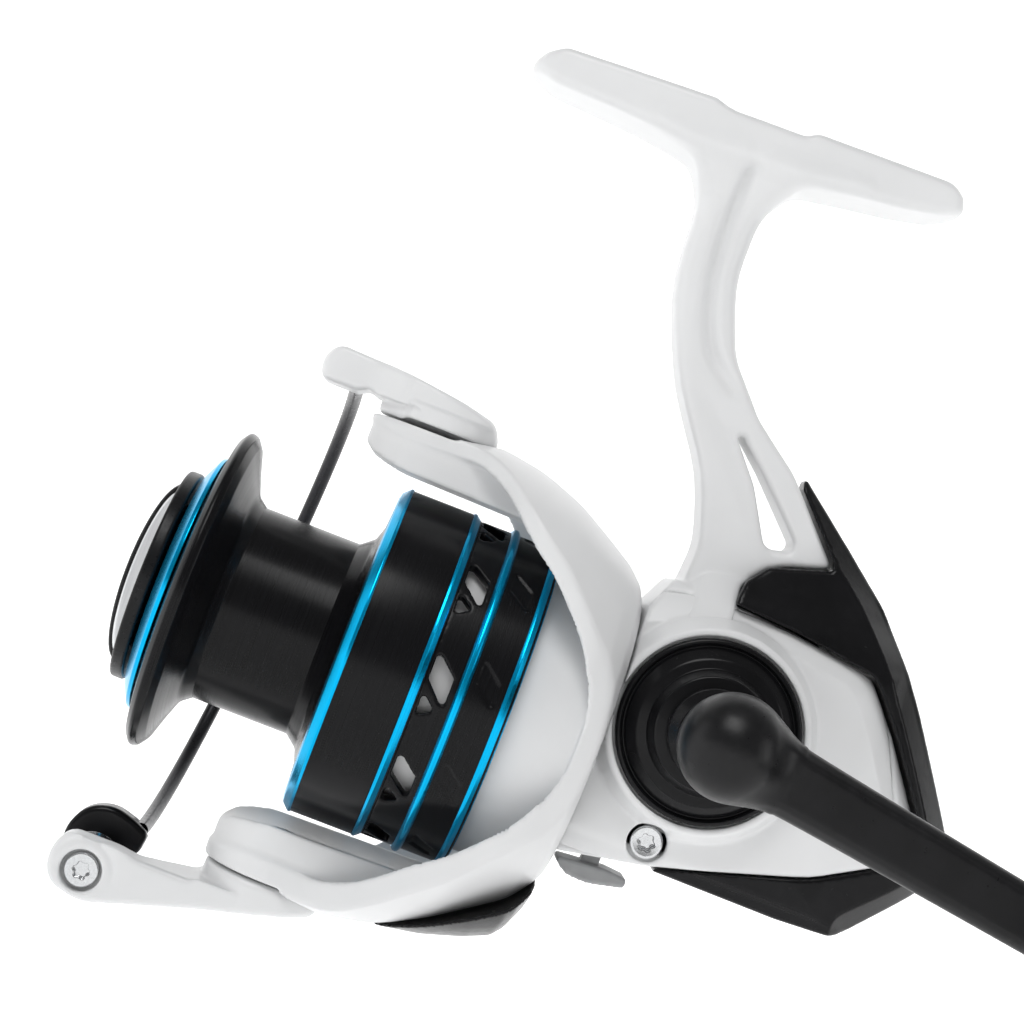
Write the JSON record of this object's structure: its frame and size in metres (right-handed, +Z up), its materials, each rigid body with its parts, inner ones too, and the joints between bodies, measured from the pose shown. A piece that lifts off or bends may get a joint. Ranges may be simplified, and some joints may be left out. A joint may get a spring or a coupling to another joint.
{
  "type": "spinning reel",
  "caption": "Fixed-spool fishing reel with foot and stem, rotor with wire bail, ported spool with drag knob, and side crank.",
  "frame": {"origin": "middle of the front pad of the foot's seat, on the face that lies against the rod", "axes": "X along the spool's axis with the spool towards -X, +Z up towards the rod, crank on the -Y side; the seat leans 2.25 degrees about Y, its front end lower"},
  "size_m": [0.1562, 0.1355, 0.147],
  "materials": {
    "white_paint": "satin pearl paint over a light composite",
    "gloss_black": "gloss black",
    "crank_black": "satin black paint",
    "satin_black": "satin black",
    "soft_grip": "matte soft grip",
    "grey_plastic": "matte grey",
    "black_anodised": "satin black anodised, blue machined bands",
    "blue_anodised": "bright blue anodised",
    "silver_trim": "silver paint",
    "dark_wire": "dark coated wire",
    "bright_steel": "polished",
    "steel": "machined",
    "zinc_alloy": "die-cast and machined",
    "brass": "machined",
    "felt": "oiled felt"
  },
  "bodies": {
    "body": {"body_frame": "white_paint", "side_cover": "white_paint", "rear_guard": "gloss_black", "cover_screw_1": "bright_steel", "cover_screw_2": "bright_steel", "cover_screw_3": "bright_steel", "bearing_cap": "gloss_black", "near_bearing": "steel", "far_bearing": "steel", "far_side_cap": "gloss_black", "pinion_bearing": "steel", "roller_clutch": "zinc_alloy", "clutch_retainer": "satin_black", "guide_rod": "steel"},
    "lever": {"anti_reverse_lever": "grey_plastic"},
    "crank": {"drive_gear": "zinc_alloy", "drive_shaft": "steel", "crank_collar": "gloss_black", "crank_arm": "crank_black", "knob_spindle": "steel"},
    "knob": {"knob_body": "soft_grip", "knob_bearing": "steel", "knob_cap": "satin_black"},
    "swing_gear": {"oscillation_gear": "zinc_alloy"},
    "carriage": {"main_shaft": "steel", "oscillation_slider": "zinc_alloy", "slider_screw": "steel", "spool_support": "brass", "click_gear": "zinc_alloy"},
    "rotor_group": {"rotor": "white_paint", "pinion_gear": "brass", "rotor_nut": "steel", "rotor_arm_cover": "gloss_black", "clutch_sleeve": "steel", "bail_spring": "steel", "upper_pivot_screw": "bright_steel", "lower_pivot_screw": "bright_steel"},
    "bail": {"bail_arm": "white_paint", "bail_lever": "white_paint", "bail_wire": "dark_wire", "wire_holder": "gloss_black", "roller_screw": "bright_steel"},
    "roller": {"line_roller": "bright_steel"},
    "spool": {"spool_body": "black_anodised", "lip_ring": "blue_anodised", "click_pawl": "steel", "drag_washer_rear": "felt", "drag_washer_middle": "steel", "drag_washer_front": "felt", "drag_plate": "steel", "drag_clip": "steel"},
    "drag": {"drag_knob": "satin_black", "knob_inlay_near": "silver_trim", "knob_inlay_far": "silver_trim", "drag_nut": "brass", "drag_spring": "steel"}
  },
  "joints": [
    {"name": "crank_turn", "type": "hinge", "parent": "body", "child": "crank", "pos_m": [0.043, 0, -0.08817], "axis": [0, -1, 0], "continuous": true},
    {"name": "rotor_turn", "type": "hinge", "parent": "body", "child": "rotor_group", "pos_m": [0.013, 0, -0.09647], "axis": [1, 0, 0], "continuous": true},
    {"name": "swing_gear_turn", "type": "hinge", "parent": "body", "child": "swing_gear", "pos_m": [0.0579, 0, -0.09097], "axis": [0, -1, 0], "continuous": true},
    {"name": "knob_spin", "type": "hinge", "parent": "crank", "child": "knob", "pos_m": [0.10029, -0.068, -0.09724], "axis": [0, -1, 0], "continuous": true},
    {"name": "spool_stroke", "type": "slide", "parent": "body", "child": "carriage", "axis": [-1, 0, 0], "range_m": [0, 0.014]},
    {"name": "spool_slip", "type": "hinge", "parent": "carriage", "child": "spool", "pos_m": [-0.017, 0, -0.09647], "axis": [1, 0, 0], "continuous": true},
    {"name": "drag_knob_turn", "type": "hinge", "parent": "carriage", "child": "drag", "pos_m": [-0.041, 0, -0.09647], "axis": [-1, 0, 0], "range_deg": [-720, 360]},
    {"name": "bail_flip", "type": "hinge", "parent": "rotor_group", "child": "bail", "pos_m": [-0.0094, 0, -0.09647], "axis": [0, 0, 1], "range_deg": [0, 115]},
    {"name": "roller_spin", "type": "hinge", "parent": "bail", "child": "roller", "pos_m": [-0.0348, -0.0007, -0.14047], "axis": [0, 1, 0], "continuous": true},
    {"name": "lever_swing", "type": "hinge", "parent": "body", "child": "lever", "pos_m": [0.035, 0, -0.10727], "axis": [1, 0, 0], "range_deg": [-12, 12]}
  ],
  "couplings": [
    {"joint": "rotor_turn", "follows": "crank_turn", "ratio": 5.2222},
    {"joint": "swing_gear_turn", "follows": "crank_turn", "ratio": -0.60714}
  ]
}
